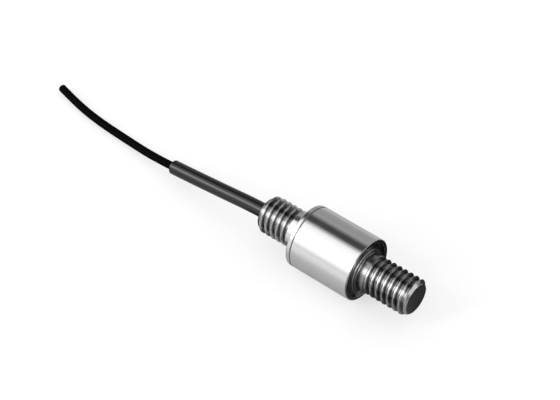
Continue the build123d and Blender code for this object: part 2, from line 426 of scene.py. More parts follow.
@dataclass(frozen=True)
class CutCable(ExtrudedPlastic):
    """A cable's jacket, with its four cores showing in the flat cut end."""

    end: Triple = (0.0, 0.0, 0.0)
    heading: Triple = (1.0, 0.0, 0.0)
    core_offset: float = 0.00021
    core_radius: float = 0.00018
    wire_radius: float = 0.0001
    cut_depth: float = 0.00001

    def detail(self, desk: SurfaceDesk) -> None:
        """Adds the skin's detail, and paints the cores on the cut end.

        Args:
            desk: The desk on the material's tree.
        """
        super().detail(desk)
        skin = desk.shader.inputs["Base Color"].links[0].from_socket
        side = Vector(self.heading).cross(Vector((0, 0, 1))).normalized()
        from_end = desk.vector("SUBTRACT", desk.place(), self.end)
        across = desk.vector("DOT_PRODUCT", from_end, side)
        rise = desk.parts(from_end)[2]
        radius = desk.diagonal(*(desk.minus(desk.absolute(way), self.core_offset) for way in (across, rise)))
        cut = desk.math("GREATER_THAN", desk.vector("DOT_PRODUCT", from_end, self.heading), -self.cut_depth)
        core = desk.times(cut, desk.math("LESS_THAN", radius, self.core_radius))
        wire = desk.times(cut, desk.math("LESS_THAN", radius, self.wire_radius))
        right = desk.math("GREATER_THAN", across, 0.0)
        upper = desk.math("GREATER_THAN", rise, 0.0)
        cores = desk.tint(upper, desk.tint(right, BLACK, GREEN), desk.tint(right, WHITE, RED))
        colour = desk.tint(wire, desk.tint(core, skin, cores), COPPER)
        desk.dress({"Base Color": colour, "Metallic": wire})


@dataclass(frozen=True)
class TwoTone(Finish):
    """A small made-up part of two materials, told apart by where they lie on it."""

    other_colour: Colour = (0.7, 0.7, 0.7)
    other_roughness: float = 0.3
    other_metallic: float = 1.0
    axis_height: float = 0.005
    border: float = 0.001
    speckle_scale: float = 4000.0
    speckle_shades: Pair = (0.8, 1.2)
    speckle_spread: float = 0.15
    speckle_depth: float = 0.000004

    def detail(self, desk: SurfaceDesk) -> None:
        """Paints what lies past the border with the other material.

        Args:
            desk: The desk on the material's tree.
        """
        place = desk.place()
        _, y, z = desk.parts(place)
        rise = desk.minus(z, self.axis_height)
        past = desk.math("GREATER_THAN", self.distance(desk, y, rise), self.border)
        speckle = desk.noise(place, self.speckle_scale, detail=3.0)
        own = desk.tint(speckle, *(shaded(self.colour, shade) for shade in self.speckle_shades))
        rough = desk.blend(past, self.roughness, self.other_roughness)
        inputs = {
            "Base Color": desk.tint(past, own, self.other_colour),
            "Roughness": desk.uneven(rough, speckle, self.speckle_spread),
            "Metallic": desk.blend(past, self.metallic, self.other_metallic),
            "Normal": desk.bump(speckle, self.speckle_depth),
        }
        desk.dress(inputs)

    def distance(self, desk: NodeDesk, y: Socket, rise: Socket) -> Socket:
        """Returns how far a point lies from the load axis, which is compared with the border."""
        return desk.diagonal(y, rise)


@dataclass(frozen=True)
class GaugeFilm(TwoTone):
    """Amber carrier film with the metal foil on top of it."""

    def distance(self, desk: NodeDesk, y: Socket, rise: Socket) -> Socket:
        """Returns how far out of its flat a point lies."""
        return desk.math("MAXIMUM", desk.absolute(y), desk.absolute(rise))


@dataclass(frozen=True)
class ResistorChip(TwoTone):
    """Dark chip with a metal cap at each end, on the board's diagonals."""

    def distance(self, desk: NodeDesk, y: Socket, rise: Socket) -> Socket:
        """Returns how far a point lies from the middle of its chip, along the chip."""
        ways = (desk.absolute(desk.add(y, rise)), desk.absolute(desk.minus(y, rise)))
        return desk.times(desk.math("MINIMUM", *ways), math.sqrt(0.5))


@dataclass(frozen=True)
class SoftMetal(Finish):
    """Solder, copper or brass with an uneven, slightly tarnished surface."""

    tarnish: Colour = (0.4, 0.4, 0.4)
    tarnish_edge: Pair = (0.45, 0.75)
    tarnish_roughness: float = 0.25
    dimple_scale: float = 2500.0
    dimple_depth: float = 0.00001

    def detail(self, desk: SurfaceDesk) -> None:
        """Adds tarnish and small dimples.

        Args:
            desk: The desk on the material's tree.
        """
        dimples = desk.noise(desk.place(), self.dimple_scale, detail=4.0)
        dull = desk.step(dimples, *self.tarnish_edge)
        rough = desk.blend(dull, self.roughness, self.roughness + self.tarnish_roughness)
        colour = desk.tint(dull, self.colour, self.tarnish)
        normal = desk.bump(dimples, self.dimple_depth)
        desk.dress({"Base Color": colour, "Roughness": rough, "Normal": normal})


@dataclass(frozen=True)
class WovenBraid(Finish):
    """Tinned wires plaited round the cable."""

    axis_height: float = 0.005
    pitch: float = 0.0007
    wires: int = 12
    gap_edge: Pair = (-0.6, 0.8)
    painted_gap_shade: float = 0.25
    wire_depth: float = 0.00002

    def detail(self, desk: SurfaceDesk) -> None:
        """Adds the plait as two crossing screw lines, with painted shade in the gaps between the wires.

        Args:
            desk: The desk on the material's tree.
        """
        x, y, z = desk.parts(desk.place())
        turn = desk.times(desk.math("ARCTAN2", desk.minus(z, self.axis_height), y), self.wires)
        run = desk.times(x, 2 * math.pi / self.pitch)
        lines = (desk.math("SINE", desk.add(run, turn)), desk.math("SINE", desk.minus(run, turn)))
        height = desk.math("MAXIMUM", *lines)
        # Painted shade: the gaps between the wires are darkened.
        gap = shaded(self.colour, self.painted_gap_shade)
        colour = desk.tint(desk.step(height, *self.gap_edge), gap, self.colour)
        desk.dress({"Base Color": colour, "Normal": desk.bump(height, self.wire_depth)})


@dataclass(frozen=True)
class PaintedShadePatch:
    """A patch of painted shade on the floor that only reflections show, with soft edges."""

    level: float
    x_edges: tuple[Pair, ...] = ()
    y_edges: tuple[Pair, ...] = ()

    def laid(self, desk: NodeDesk, place: Sequence[Socket], under: Paint) -> Socket:
        """Lays the patch of painted shade on what is there.

        Args:
            desk: The desk on the floor's tree.
            place: The point's X and Y on the floor.
            under: The colour without the patch.

        Returns:
            The colour with the patch.
        """
        cover = 1.0
        for way, edges in zip(place, (self.x_edges, self.y_edges)):
            for edge in edges:
                cover = desk.times(cover, desk.step(way, *edge))
        return desk.tint(cover, under, grey(self.level))


@dataclass(frozen=True)
class StudioFloor(Finish):
    """A white floor with a faint shadow, which glossy rays see as grey with patches of painted shade: a
    painted reflection.
    """

    paper_white: float = 0.6
    reflected_floor_level: float = 0.45
    # Patches of painted shade and painted reflection that only glossy rays see.
    painted_shade_patches: tuple[PaintedShadePatch, ...] = (
        PaintedShadePatch(0.7, y_edges=((-0.006, -0.03),)),
        PaintedShadePatch(0.1, x_edges=((-0.009, -0.0105), (-0.021, -0.018)), y_edges=((-0.009, -0.006), (0.006, 0.004))),
        PaintedShadePatch(0.1, x_edges=((0.003, 0.007),)),
        PaintedShadePatch(0.03, x_edges=((0.003, 0.007),), y_edges=((-0.004, 0.002),)),
        PaintedShadePatch(0.26, x_edges=((0.0115, 0.0135),), y_edges=((0.0015, -0.0005),)),
    )

    def detail(self, desk: SurfaceDesk) -> None:
        """Paints the floor grey for glossy rays, a painted reflection, with patches of painted shade by the
        studs.

        Args:
            desk: The desk on the material's tree.
        """
        place = desk.parts(desk.place())
        reflected = grey(self.reflected_floor_level)
        for shade_patch in self.painted_shade_patches:
            reflected = shade_patch.laid(desk, place[:2], reflected)
        rays = desk.node("ShaderNodeLightPath").outputs
        lit = shaded(self.colour, 1 - self.paper_white)
        shown = desk.tint(rays["Is Camera Ray"], self.colour, lit)
        paper = desk.times(rays["Is Camera Ray"], self.paper_white)
        # Glossy rays see the floor darker than the camera does: a painted reflection.
        inputs = {
            "Base Color": desk.tint(rays["Is Glossy Ray"], shown, reflected),
            "Emission Color": (1, 1, 1, 1),
            "Emission Strength": paper,
            "Specular IOR Level": 0.0,
        }
        desk.dress(inputs)


MACHINED = TurnedSteel("turned_stainless", STAINLESS, 0.18, 1.0)
# The sleeve's end faces get painted shade through a darker face colour.
POLISHED = TurnedSteel(
    "polished_stainless", STAINLESS, 0.13, 1.0, face_shade_colour=(0.3, 0.3, 0.305), face_roughness=0.16
)
# The diaphragm's colour is painted shade for its place deep in the recess.
SHEET = TurnedSteel(
    "formed_stainless", RECESS_SHADE_STAINLESS, 0.22, 1.0, face_shade_colour=RECESS_SHADE_STAINLESS, face_roughness=0.22
)
RELIEF = ExtrudedPlastic(
    "shrunk_plastic", (0.004, 0.004, 0.0045), 0.2, wave_size=0.004, gloss=0.6, fade=0.003
)


def join_rings(mesh: bmesh.types.BMesh, rings: Sequence[Sequence[bmesh.types.BMVert]]) -> None:
    """Joins rings of points into a surface.

    Args:
        mesh: The mesh that has the points.
        rings: The rings in their order, of which one with a single point is a pole.
    """
    for near, far in zip(rings, rings[1:]):
        for k in range(max(len(near), len(far))):
            ahead = k + 1
            corners = (near[k % len(near)], near[ahead % len(near)], far[ahead % len(far)], far[k % len(far)])
            mesh.faces.new(dict.fromkeys(corners))


class Lathe:
    """Turns outlines about the load axis into meshes."""

    def __init__(self, axis_height: float, segments: int, by_flats: bool = False) -> None:
        """Sets the lathe up.

        Args:
            axis_height: The load axis's height above the surface, in metres.
            segments: How many flats make a full turn.
            by_flats: Whether a radius reaches to the middle of a flat, as on a square bar.
        """
        self.axis_height = axis_height
        self.segments = segments
        self.start = math.pi / segments if by_flats else 0.0

    def ring(self, mesh: bmesh.types.BMesh, x: float, radius: float) -> list[bmesh.types.BMVert]:
        """Adds one ring of points, or a single one on the axis.

        Args:
            mesh: The mesh that gets them.
            x: The ring's place along the load axis, in mm.
            radius: Its radius, in mm.

        Returns:
            The ring's points.
        """
        count = self.segments if radius > 0 else 1
        reach = radius / math.cos(self.start) * MM
        angles = [self.start + 2 * math.pi * k / count for k in range(count)]
        spots = [(x * MM, reach * math.cos(a), self.axis_height + reach * math.sin(a)) for a in angles]
        return [mesh.verts.new(spot) for spot in spots]

    def turn(self, mesh: bmesh.types.BMesh, outline: Iterable[Sequence[float]]) -> None:
        """Adds the surface of an outline, given as places along the axis and radii in mm."""
        join_rings(mesh, [self.ring(mesh, x, radius) for x, radius in outline])


def rounded(corners: Sequence[Triple], steps: int = 8, margin: float = 0.02) -> list[Vector]:
    """Rounds the corners of an outline.

    Args:
        corners: Place along the axis, radius and rounding of each corner, in mm.
        steps: Straight pieces in each rounding.
        margin: How far beside a rounding an extra point holds the flat there flat, in mm.

    Returns:
        The outline's points.
    """
    spots = [Vector(corner[:2]) for corner in corners]
    points = [spots[0]]
    for before, spot, after, corner in zip(spots, spots[1:], spots[2:], corners[1:]):
        rounding = corner[2]
        if not rounding:
            points.append(spot)
            continue
        back = (before - spot).normalized()
        ahead = (after - spot).normalized()
        half = back.angle(ahead) / 2
        reach = rounding / math.tan(half)
        centre = spot + (back + ahead).normalized() * rounding / math.sin(half)
        first = spot + back * reach - centre
        last = spot + ahead * reach - centre
        arc = [centre + first.slerp(last, k / steps) * rounding for k in range(steps + 1)]
        points += [arc[0] + back * margin, *arc, arc[-1] + ahead * margin]
    return [*points, spots[-1]]


def linked(name: str, data: bpy.types.ID) -> bpy.types.Object:
    """Makes an object and links it to the scene."""
    made = bpy.data.objects.new(name, data)
    bpy.context.scene.collection.objects.link(made)
    return made


def evaluated(source: bpy.types.Object) -> bpy.types.Mesh:
    """Returns a plain mesh of an object with its modifiers applied."""
    graph = bpy.context.evaluated_depsgraph_get()
    return bpy.data.meshes.new_from_object(source.evaluated_get(graph), depsgraph=graph)


def made_object(name: str, mesh: bmesh.types.BMesh, finish: Finish) -> bpy.types.Object:
    """Turns a mesh under construction into an object.

    Args:
        name: The object's name.
        mesh: The mesh, which is freed.
        finish: Its finish.

    Returns:
        The object, linked to the scene.
    """
    bmesh.ops.remove_doubles(mesh, verts=mesh.verts, dist=MERGE_DISTANCE)
    bmesh.ops.recalc_face_normals(mesh, faces=mesh.faces)
    data = bpy.data.meshes.new(name)
    mesh.to_mesh(data)
    mesh.free()
    data.materials.append(finish.material())
    smooth(data)
    return linked(name, data)


def smooth(data: bpy.types.Mesh) -> None:
    """Shades a mesh smooth, apart from its sharp edges."""
    data.polygons.foreach_set("use_smooth", [True] * len(data.polygons))
    data.set_sharp_from_angle(angle=math.radians(SHARP_ANGLE))


def report(piece: bpy.types.Object) -> None:
    """Logs a finished piece's size."""
    faces = len(piece.data.polygons) if piece.type == "MESH" else 0
    log.info("%s: %s, %d faces", piece.name, piece.type.lower(), faces)


class ThreadTree:
    """A geometry tree that rolls an outside screw thread between a stud's tip and its collar."""

    LENGTHS = ("Tip Place", "Length", "Pitch", "Crest Radius", "Root Radius", "Tip Chamfer", "Runout")
    INPUTS = {
        **dict.fromkeys((*LENGTHS, "Axis Height", "Direction", "Start Turn"), "NodeSocketFloat"),
        **dict.fromkeys(("Rows per Turn", "Segments"), "NodeSocketInt"),
        "Material": "NodeSocketMaterial",
    }
    CREST_FLAT = 0.07
    ROOT_FLAT = 0.25
    SOFTNESS = 0.1

    def __init__(self) -> None:
        """Builds the tree."""
        self.tree = bpy.data.node_groups.new("screw_thread", "GeometryNodeTree")
        self.tree.interface.new_socket("Geometry", in_out="INPUT", socket_type="NodeSocketGeometry")
        for name, kind in self.INPUTS.items():
            self.tree.interface.new_socket(name, in_out="INPUT", socket_type=kind)
        self.tree.interface.new_socket("Geometry", in_out="OUTPUT", socket_type="NodeSocketGeometry")
        self.desk = NodeDesk(self.tree)
        self.given = self.desk.node("NodeGroupInput").outputs
        self.build()

    def build(self) -> None:
        """Lays a grid along the stud, slants it by the pitch and gives each point its radius."""
        desk, given = self.desk, self.given
        row = desk.over(given["Pitch"], given["Rows per Turn"])
        rows = desk.math("CEIL", desk.over(desk.add(given["Length"], given["Pitch"]), row))
        columns = desk.add(given["Segments"], 1.0)
        grid = desk.node("GeometryNodeMeshGrid", 1.0, 1.0, desk.add(rows, 1.0), columns)
        across, around, _ = desk.parts(desk.node("GeometryNodeInputPosition").outputs[0])
        along = desk.times(desk.times(desk.add(across, 0.5), rows), row)
        turn = desk.add(around, 0.5)
        slant = desk.times(turn, given["Pitch"])
        free = desk.minus(desk.add(along, slant), given["Pitch"])
        depth = desk.math("MINIMUM", desk.math("MAXIMUM", free, 0.0), given["Length"])
        radius = self.radius(desk.minus(depth, slant), depth)
        angle = desk.times(desk.times(turn, given["Direction"]), 2 * math.pi)
        x = desk.add(given["Tip Place"], desk.times(depth, given["Direction"]))
        y = desk.times(radius, desk.math("COSINE", angle))
        z = desk.add(given["Axis Height"], desk.times(radius, desk.math("SINE", angle)))
        point = desk.node("ShaderNodeCombineXYZ", x, y, z).outputs[0]
        moved = desk.node("GeometryNodeSetPosition", grid.outputs[0], None, point).outputs[0]
        whole = desk.node("GeometryNodeRealizeInstances", moved).outputs[0]
        dressed = desk.node("GeometryNodeSetMaterial", whole, None, given["Material"]).outputs[0]
        desk.node("NodeGroupOutput", dressed)

    def radius(self, phase: Socket, depth: Socket) -> Socket:
        """Works out the thread's radius.

        Args:
            phase: The place along the screw line, in metres.
            depth: The distance from the tip, in metres.

        Returns:
            The radius, cut by the tip's chamfer and faded out at the collar.
        """
        desk, given = self.desk, self.given
        turn = desk.math("FRACT", desk.add(desk.over(phase, given["Pitch"]), given["Start Turn"]))
        ramp = desk.absolute(desk.minus(desk.times(turn, 2.0), 1.0))
        form = desk.over(desk.minus(ramp, self.ROOT_FLAT), 1.0 - self.CREST_FLAT - self.ROOT_FLAT)
        form = desk.math("SMOOTH_MIN", form, 1.0, self.SOFTNESS)
        form = desk.math("SMOOTH_MAX", form, 0.0, self.SOFTNESS)
        past = desk.minus(depth, desk.minus(given["Length"], given["Runout"]))
        form = desk.math("MAXIMUM", form, desk.math("DIVIDE", past, given["Runout"], clamp=True))
        form = desk.math("MINIMUM", form, desk.over(depth, given["Tip Chamfer"]), clamp=True)
        return desk.blend(form, given["Root Radius"], given["Crest Radius"])

    def roll(self, name: str, sizes: dict[str, object]) -> bpy.types.Mesh:
        """Makes one thread as a plain mesh.

        Args:
            name: The mesh's name.
            sizes: A value for each named input.

        Returns:
            The mesh, open at both ends.
        """
        holder = linked(name, bpy.data.meshes.new(name))
        modifier = holder.modifiers.new("thread", "NODES")
        modifier.node_group = self.tree
        for item in self.tree.interface.items_tree:
            if item.in_out == "INPUT" and item.name in sizes:
                modifier[item.identifier] = sizes[item.name]
        made = evaluated(holder)
        bpy.data.objects.remove(holder)
        return made


@dataclass
class SpringElement:
    """The turned bar: studs, flange and hub in one piece, with the gauged column between them."""

    axis_height: float
    x_rear: float
    x_front: float
    x_flange: float
    x_joint: float
    x_cavity: float
    x_rim: float
    stud_radius: float = 3.0
    root_radius: float = 2.4
    pitch: float = 1.0
    tip_chamfer: float = 0.6
    runout: float = 0.35
    rear_thread: float = 5.7
    rear_start: float = 4.67
    front_thread: float = 7.4
    front_start: float = 4.38
    body_radius: float = 5.0
    spigot_radius: float = 4.38
    edge_rounding: float = 0.22
    joint_chamfer: float = 0.1
    root_fillet: float = 0.22
    hub_radius: float = 3.504
    hub_rounding: float = 0.12
    hub_thickness: float = 1.5
    foot_width: float = 3.4
    foot_length: float = 2.0
    column_width: float = 2.6
    column_fillet: float = 0.3
    fillet_cover: float = 1.2
    bore_radius: float = 1.3
    bore_depth: float = 7.2
    mouth_chamfer: float = 0.15
    passage_radius: float = 0.75
    passage_end: float = -3.35
    cross_hole_radius: float = 0.45
    cross_hole_place: float = -3.88
    segments: int = 144
    drill_segments: int = 48
    rows_per_turn: int = 24
    sunk: float = 0.2
    skin: float = 0.001
    seam_merge: float = 1e-6

    def rear_outlines(self) -> list[list[Vector]]:
        """Returns the bore with the stud's end face, and the collar with the flange."""
        x_bore_end = self.x_rear + self.bore_depth
        bore = [
            (x_bore_end, 0, 0),
            (x_bore_end, self.bore_radius, 0),
            (self.x_rear + self.mouth_chamfer, self.bore_radius, 0),
            (self.x_rear, self.bore_radius + self.mouth_chamfer, 0),
            (self.x_rear, self.root_radius, 0),
        ]
        flange = [
            (self.x_rear + self.rear_thread, self.stud_radius, 0),
            (self.x_flange, self.stud_radius, self.root_fillet),
            (self.x_flange, self.body_radius, self.edge_rounding),
            (self.x_joint - self.joint_chamfer, self.body_radius, 0),
            (self.x_joint, self.body_radius - self.joint_chamfer, 0),
            (self.x_joint, self.spigot_radius, 0),
            (self.x_cavity, self.spigot_radius, 0),
            (self.x_cavity, 0, 0),
        ]
        return [rounded(bore), rounded(flange)]

    def front_outlines(self) -> list[list[Vector]]:
        """Returns the hub with the collar, and the front stud's tip."""
        x_hub = self.x_rim - self.hub_thickness
        hub = [
            (x_hub, 0, 0),
            (x_hub, self.hub_radius, 0),
            (self.x_rim, self.hub_radius, self.hub_rounding),
            (self.x_rim, self.stud_radius, self.root_fillet),
            (self.x_front - self.front_thread, self.stud_radius, 0),
        ]
        tip = [(self.x_front, self.root_radius, 0), (self.x_front, 0, 0)]
        return [rounded(hub), rounded(tip)]

    def end_piece(self, side: StudSide, threads: ThreadTree) -> bpy.types.Object:
        """Builds one closed end of the bar, with its thread.

        Args:
            side: The stud.
            threads: The tree that rolls the thread.

        Returns:
            The end as an object.
        """
        if side is StudSide.REAR:
            outlines, tip = self.rear_outlines(), self.x_rear
            length, start = self.rear_thread, self.rear_start
        else:
            outlines, tip = self.front_outlines(), self.x_front
            length, start = self.front_thread, self.front_start
        lathe = Lathe(self.axis_height, self.segments)
        mesh = bmesh.new()
        for outline in outlines:
            lathe.turn(mesh, outline)
        radii = (self.stud_radius, self.root_radius)
        sizes = (tip, length, self.pitch, *radii, self.tip_chamfer, self.runout)
        given = {name: size * MM for name, size in zip(ThreadTree.LENGTHS, sizes)}
        given |= {"Axis Height": self.axis_height, "Direction": float(side.value), "Start Turn": start}
        given |= {"Rows per Turn": self.rows_per_turn, "Segments": self.segments}
        given["Material"] = MACHINED.material()
        mesh.from_mesh(threads.roll(f"{side.name.lower()}_thread", given))
        bmesh.ops.remove_doubles(mesh, verts=mesh.verts, dist=self.seam_merge)
        bmesh.ops.dissolve_degenerate(mesh, edges=mesh.edges, dist=MERGE_DISTANCE)
        return made_object(f"{side.name.lower()}_end", mesh, MACHINED)

    def square_bar(self) -> bpy.types.Object:
        """Builds the foot and the column, which is filleted where it meets the foot and the hub.

        Returns:
            The bar, which is sunk into flange and hub, with its last fillet a skin under the hub's face.
        """
        x_foot = self.x_cavity + self.foot_length
        x_hub = self.x_rim - self.hub_thickness + self.skin
        foot = self.foot_width / 2
        column = self.column_width / 2
        root = column + self.fillet_cover * self.column_fillet
        outline = rounded(
            [
                (self.x_cavity - self.sunk, 0, 0),
                (self.x_cavity - self.sunk, foot, 0),
                (x_foot, foot, 0),
                (x_foot, column, self.column_fillet),
                (x_hub, column, self.column_fillet),
                (x_hub, root, 0),
                (x_hub + self.sunk, root, 0),
                (x_hub + self.sunk, 0, 0),
            ]
        )
        mesh = bmesh.new()
        Lathe(self.axis_height, 4, by_flats=True).turn(mesh, outline)
        return made_object("square_bar", mesh, MACHINED)

    def drill(self, name: str, radius: float, start: Vector, end: Vector) -> bpy.types.Object:
        """Builds a cylinder that cuts a hole.

        Args:
            name: The object's name.
            radius: The hole's radius, in mm.
            start: One end of its axis, in metres.
            end: The other end, in metres.

        Returns:
            The cylinder.
        """
        mesh = bmesh.new()
        run = end - start
        turn = run.to_track_quat("Z", "Y").to_matrix().to_4x4()
        bmesh.ops.create_cone(
            mesh,
            cap_ends=True,
            segments=self.drill_segments,
            radius1=radius * MM,
            radius2=radius * MM,
            depth=run.length,
            matrix=Matrix.Translation((start + end) / 2) @ turn,
        )
        return made_object(name, mesh, MACHINED)

    def build(self) -> bpy.types.Object:
        """Joins the two ends by the foot and the column, drills the holes and dresses the bar.

        Returns:
            The finished piece.
        """
        threads = ThreadTree()
        bar = self.end_piece(StudSide.REAR, threads)
        self.combine(bar, self.square_bar(), Combining.ADD)
        self.combine(bar, self.end_piece(StudSide.FRONT, threads), Combining.ADD)
        bore_end, passage_end, cross = (
            Vector((x * MM, 0, self.axis_height))
            for x in (self.x_rear + self.bore_depth - self.sunk, self.passage_end, self.cross_hole_place)
        )
        self.combine(bar, self.drill("passage", self.passage_radius, bore_end, passage_end), Combining.CUT)
        half = self.foot_width * MM
        for name, way in (("side_hole", Vector((0, half, 0))), ("upright_hole", Vector((0, 0, half)))):
            hole = self.drill(name, self.cross_hole_radius, cross - way, cross + way)
            self.combine(bar, hole, Combining.CUT)
        bar.name = bar.data.name = "turned_spring_element"
        smooth(bar.data)
        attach(bar, ROOT)
        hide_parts("spring_element")
        return bar

    @staticmethod
    def combine(bar: bpy.types.Object, tool: bpy.types.Object, way: Combining) -> None:
        """Adds a solid to the bar or cuts it away, and removes the tool.

        Args:
            bar: The bar, whose mesh is changed.
            tool: The other solid.
            way: Whether the other solid is added or cut away.
        """
        modifier = bar.modifiers.new("combine", "BOOLEAN")
        modifier.operation = way.value
        modifier.solver = "MANIFOLD"
        modifier.object = tool
        made = evaluated(bar)
        bar.modifiers.remove(modifier)
        bar.data = made
        bpy.data.objects.remove(tool)


@dataclass
class Housing:
    """The cover sleeve and the front diaphragm."""

    axis_height: float
    x_joint: float
    x_rim: float
    body_radius: float = 5.0
    wall: float = 0.6
    joint_chamfer: float = 0.1
    lip_rounding: float = 0.24
    inner_rounding: float = 0.08
    hub_radius: float = 3.504
    weld_fit: float = 0.02
    diaphragm_recess: float = 0.4
    diaphragm_sheet: float = 0.12
    convolution_depth: float = 0.2
    convolution_width: float = 0.493
    convolution_steps: int = 16
    segments: int = 192

    def sleeve(self) -> bpy.types.Object:
        """Builds the polished tube."""
        inner = self.body_radius - self.wall
        outline = rounded(
            [
                (self.x_joint, inner, 0),
                (self.x_joint, self.body_radius - self.joint_chamfer, 0),
                (self.x_joint + self.joint_chamfer, self.body_radius, 0),
                (self.x_rim, self.body_radius, self.lip_rounding),
                (self.x_rim, inner, self.inner_rounding),
                (self.x_joint, inner, 0),
            ]
        )
        mesh = bmesh.new()
        Lathe(self.axis_height, self.segments).turn(mesh, outline)
        piece = made_object("polished_cover_sleeve", mesh, POLISHED)
        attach(piece, ROOT)
        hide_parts("cover_sleeve")
        return piece

    def diaphragm(self) -> bpy.types.Object:
        """Builds the formed ring between hub and sleeve."""
        inner = self.hub_radius + self.weld_fit
        outer = self.body_radius - self.wall - self.weld_fit
        x = self.x_rim - self.diaphragm_recess
        middle = (inner + outer) / 2
        face = []
        for k in range(self.convolution_steps + 1):
            share = 2 * k / self.convolution_steps - 1
            dip = self.convolution_depth * (1 + math.cos(math.pi * share)) / 2
            face.append((x - dip, middle + share * self.convolution_width / 2))
        front = [(x, inner), *face, (x, outer)]
        back = [(place - self.diaphragm_sheet, radius) for place, radius in reversed(front)]
        mesh = bmesh.new()
        Lathe(self.axis_height, self.segments).turn(mesh, [*front, *back, front[0]])
        piece = made_object("formed_front_diaphragm", mesh, SHEET)
        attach(piece, ROOT)
        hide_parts("front_diaphragm")
        return piece

    def build(self) -> list[bpy.types.Object]:
        """Returns the sleeve and the diaphragm."""
        return [self.sleeve(), self.diaphragm()]


@dataclass
class CableRun:
    """The cable behind the cell, with its shrunk sleeve and its cut end."""

    exit: Triple
    diameter: float = 1.3
    relief_diameter: float = 2.3
    relief_start: float = -10.7
    relief_end: float = -33.1
    relief_segments: int = 48
    lip_rounding: float = 0.08
    lip_steps: int = 6
    lip_clearance: float = 1.2
    curve_order: int = 3
    curve_steps: int = 24
    round_steps: int = 8
    points: tuple[Triple, ...] = (
        (-0.0076, 0, 0.005),
        (-0.0142, 0, 0.005),
        (-0.0235, 0, 0.0038),
        (-0.0370, 0.0007, 0.0015),
        (-0.0438, 0.00155, 0.00065),
        (-0.0512, 0.00195, 0.00065),
        (-0.0568, 0.0029, 0.00065),
        (-0.0609, 0.0040, 0.00065),
    )

    def route(self, name: str) -> bpy.types.Object:
        """Draws the cable's smooth centre line as a curve with no thickness."""
        data = bpy.data.curves.new(name, "CURVE")
        data.dimensions = "3D"
        spline = data.splines.new("NURBS")
        spline.points.add(len(self.points) - 1)
        for point, place in zip(spline.points, self.points):
            point.co = (*place, 1)
        spline.order_u = self.curve_order
        spline.use_endpoint_u = True
        data.resolution_u = self.curve_steps
        return linked(name, data)

    def centre_line(self) -> list[Vector]:
        """Reads the points along the centre line."""
        curve = self.route("centre_line")
        mesh = evaluated(curve)
        line = [vertex.co.copy() for vertex in mesh.vertices]
        bpy.data.objects.remove(curve)
        bpy.data.meshes.remove(mesh)
        return line

    def skin(self) -> CutCable:
        """Returns the jacket's finish, which knows where the cut end is."""
        before, end = self.points[-2:]
        heading = tuple((Vector(end) - Vector(before)).normalized())
        return CutCable(
            "drawn_plastic",
            (0.001, 0.001, 0.0012),
            0.7,
            wave_size=0.0015,
            gloss=0.03,
            fade=0.0006,
            end=end,
            heading=heading,
        )

    def jacket(self) -> bpy.types.Object:
        """Builds the cable's jacket on its route."""
        piece = self.route("cable_jacket")
        piece.data.bevel_depth = self.diameter / 2 * MM
        piece.data.bevel_resolution = self.round_steps
        piece.data.use_fill_caps = True
        piece.data.materials.append(self.skin().material())
        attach(piece, ROOT)
        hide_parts("cable")
        return piece

    def relief(self, line: Sequence[Vector]) -> bpy.types.Object:
        """Builds the shrunk sleeve as a tube along the cable.

        Args:
            line: The cable's centre line.

        Returns:
            The sleeve.
        """
        sizes = (self.relief_diameter / 2, self.diameter / 2, self.lip_rounding)
        outer, inner, lip = (size * MM for size in sizes)
        first = self.on_line(line, self.relief_start * MM)
        last = self.on_line(line, self.relief_end * MM)
        lip_place = last.x + self.lip_clearance * lip
        covered = [first, *(point for point in line if lip_place < point.x < first.x)]
        sections = [(point, ahead, outer) for point, ahead in zip(covered, self.directions(covered))]
        ahead = (last - covered[-1]).normalized()
        for k in range(self.lip_steps + 1):
            angle = math.pi / 2 * k / self.lip_steps
            centre = last - ahead * lip * (1 - math.sin(angle))
            sections.append((centre, ahead, outer - lip * (1 - math.cos(angle))))
        back = [(point, ahead, inner) for point, ahead, _ in reversed(sections)]
        mesh = bmesh.new()
        self.sweep(mesh, [*sections, *back, sections[0]])
        piece = made_object("shrunk_strain_relief", mesh, RELIEF)
        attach(piece, ROOT)
        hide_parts("strain_relief")
        return piece

    @staticmethod
    def on_line(line: Sequence[Vector], x: float) -> Vector:
        """Finds the point of a line at a place along X.

        Args:
            line: Points that run towards -X.
            x: The place, in metres.

        Returns:
            The point.
        """
        for a, b in zip(line, line[1:]):
            if b.x <= x <= a.x:
                return a.lerp(b, (a.x - x) / (a.x - b.x))
        return line[-1]

    @staticmethod
    def directions(line: Sequence[Vector]) -> list[Vector]:
        """Returns the direction of a line at each of its points."""
        ahead = [*line[1:], line[-1]]
        behind = [line[0], *line[:-1]]
        return [(a - b).normalized() for a, b in zip(ahead, behind)]

    def sweep(self, mesh: bmesh.types.BMesh, sections: Sequence[tuple[Vector, Vector, float]]) -> None:
        """Joins round sections into a surface.

        Args:
            mesh: The mesh that gets it.
            sections: Centre, direction and radius of each section, in metres.
        """
        rings = []
        angles = [2 * math.pi * k / self.relief_segments for k in range(self.relief_segments)]
        for centre, ahead, radius in sections:
            side = ahead.cross(Vector((0, 0, 1))).normalized()
            top = side.cross(ahead)
            spots = [centre + radius * (side * math.cos(a) + top * math.sin(a)) for a in angles]
            rings.append([mesh.verts.new(spot) for spot in spots])
        join_rings(mesh, rings)

    def build(self) -> list[bpy.types.Object]:
        """Returns:
            The finished pieces.
        """
        line = self.centre_line()
        jacket = self.jacket()
        relief = self.relief(line)
        return [jacket, relief]


